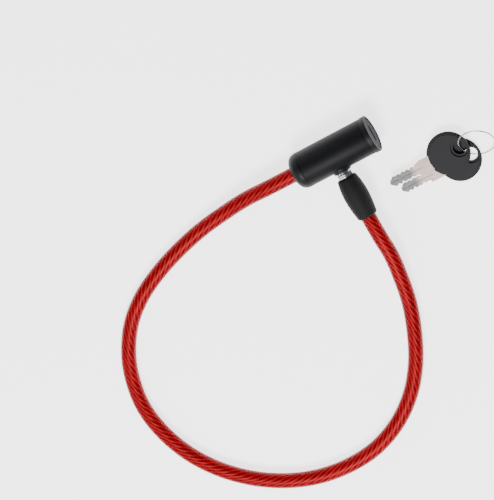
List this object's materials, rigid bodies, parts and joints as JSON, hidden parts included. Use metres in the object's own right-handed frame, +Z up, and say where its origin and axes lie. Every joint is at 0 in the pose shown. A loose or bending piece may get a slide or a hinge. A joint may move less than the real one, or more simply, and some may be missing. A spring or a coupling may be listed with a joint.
{
  "type": "cable luggage lock",
  "caption": "Key-operated cable lock: a cylinder body with a side socket, a plastic-covered cable loop ending in a latch pin, and flat keys on a wire ring.",
  "frame": {"origin": "on the floor, straight below the crossing of the lock body's axis and the latch pin's axis", "axes": "+X along the lock body's axis to its key face, +Y away from the latch pin's way out, +Z up from the floor that the lock lies on"},
  "size_m": [0.316, 0.2177, 0.0264],
  "materials": {
    "sleeve_black": "satin moulded ABS",
    "cap_black": "satin moulded ABS",
    "disc_grey": "fine matte moulded",
    "ferrule_black": "soft matte PVC",
    "die_cast_zinc": "as cast",
    "bright_plate": "polished plating",
    "ring_wire": "bright wire",
    "plain_steel": "machined",
    "spring_steel": "drawn wire",
    "brass": "turned",
    "red_pvc": "clear red extruded PVC",
    "wire_rope": "twisted strands",
    "nickel_blade": "nickel plated, stamped",
    "bow_black": "fine grained moulding"
  },
  "bodies": {
    "lock": {"body_cover": "sleeve_black", "rear_end_cap": "cap_black", "front_cap": "cap_black", "socket_collar": "cap_black", "socket_bush": "bright_plate", "lock_housing": "die_cast_zinc", "cable_anchor": "plain_steel", "anchor_pin": "plain_steel", "cable_jacket": "red_pvc", "cable_core": "wire_rope", "bolt_spring": "spring_steel"},
    "plug": {"dust_disc": "disc_grey", "key_plug": "brass", "plug_retainer": "plain_steel", "crank_cam": "plain_steel", "wafer_spring_1": "spring_steel", "wafer_spring_2": "spring_steel", "wafer_spring_3": "spring_steel", "wafer_spring_4": "spring_steel", "wafer_spring_5": "spring_steel"},
    "bolt": {"locking_bolt": "plain_steel"},
    "latch": {"latch_pin": "bright_plate", "pin_crimp": "plain_steel", "ferrule_cover": "ferrule_black"},
    "key_ring": {"key_ring": "ring_wire"},
    "upper_key": {"key_upper_blade": "nickel_blade", "key_upper_bow": "bow_black"},
    "lower_key": {"key_lower_blade": "nickel_blade", "key_lower_bow": "bow_black"},
    "wafer_1": {"wafer_1": "brass"},
    "wafer_2": {"wafer_2": "brass"},
    "wafer_3": {"wafer_3": "brass"},
    "wafer_4": {"wafer_4": "brass"},
    "wafer_5": {"wafer_5": "brass"}
  },
  "joints": [
    {"name": "plug_turn", "type": "hinge", "parent": "lock", "child": "plug", "pos_m": [0, 0, 0.0132], "axis": [1, 0, 0], "range_deg": [0, 90]},
    {"name": "bolt_slide", "type": "slide", "parent": "lock", "child": "bolt", "axis": [0, 0, -1], "range_m": [0, 0.00283], "deforming": ["bolt_spring"]},
    {"name": "pin_pull", "type": "slide", "parent": "lock", "child": "latch", "axis": [0, -1, 0], "range_m": [0, 0.024], "deforming": ["cable_jacket", "cable_core"]},
    {"name": "wafer_1_slide", "type": "slide", "parent": "plug", "child": "wafer_1", "axis": [0, -1, 0], "range_m": [0, 0.0008], "deforming": ["wafer_spring_1"]},
    {"name": "wafer_2_slide", "type": "slide", "parent": "plug", "child": "wafer_2", "axis": [0, -1, 0], "range_m": [0, 0.0008], "deforming": ["wafer_spring_2"]},
    {"name": "wafer_3_slide", "type": "slide", "parent": "plug", "child": "wafer_3", "axis": [0, -1, 0], "range_m": [0, 0.0008], "deforming": ["wafer_spring_3"]},
    {"name": "wafer_4_slide", "type": "slide", "parent": "plug", "child": "wafer_4", "axis": [0, -1, 0], "range_m": [0, 0.0008], "deforming": ["wafer_spring_4"]},
    {"name": "wafer_5_slide", "type": "slide", "parent": "plug", "child": "wafer_5", "axis": [0, -1, 0], "range_m": [0, 0.0008], "deforming": ["wafer_spring_5"]},
    {"name": "keys_lift", "type": "slide", "parent": "lock", "child": "key_ring", "axis": [0, 0, 1], "range_m": [0, 0.06]},
    {"name": "upper_key_swing", "type": "hinge", "parent": "key_ring", "child": "upper_key", "pos_m": [0.07681, -0.03817, 0.0055], "axis": [0, 0, 1], "range_deg": [-12, 12]},
    {"name": "lower_key_swing", "type": "hinge", "parent": "key_ring", "child": "lower_key", "pos_m": [0.07957, -0.04407, 0.0018], "axis": [0, 0, 1], "range_deg": [-22, 4]}
  ],
  "couplings": [
    {"joint": "bolt_slide", "follows": "plug_turn", "m_per_rad": 0.0018}
  ]
}
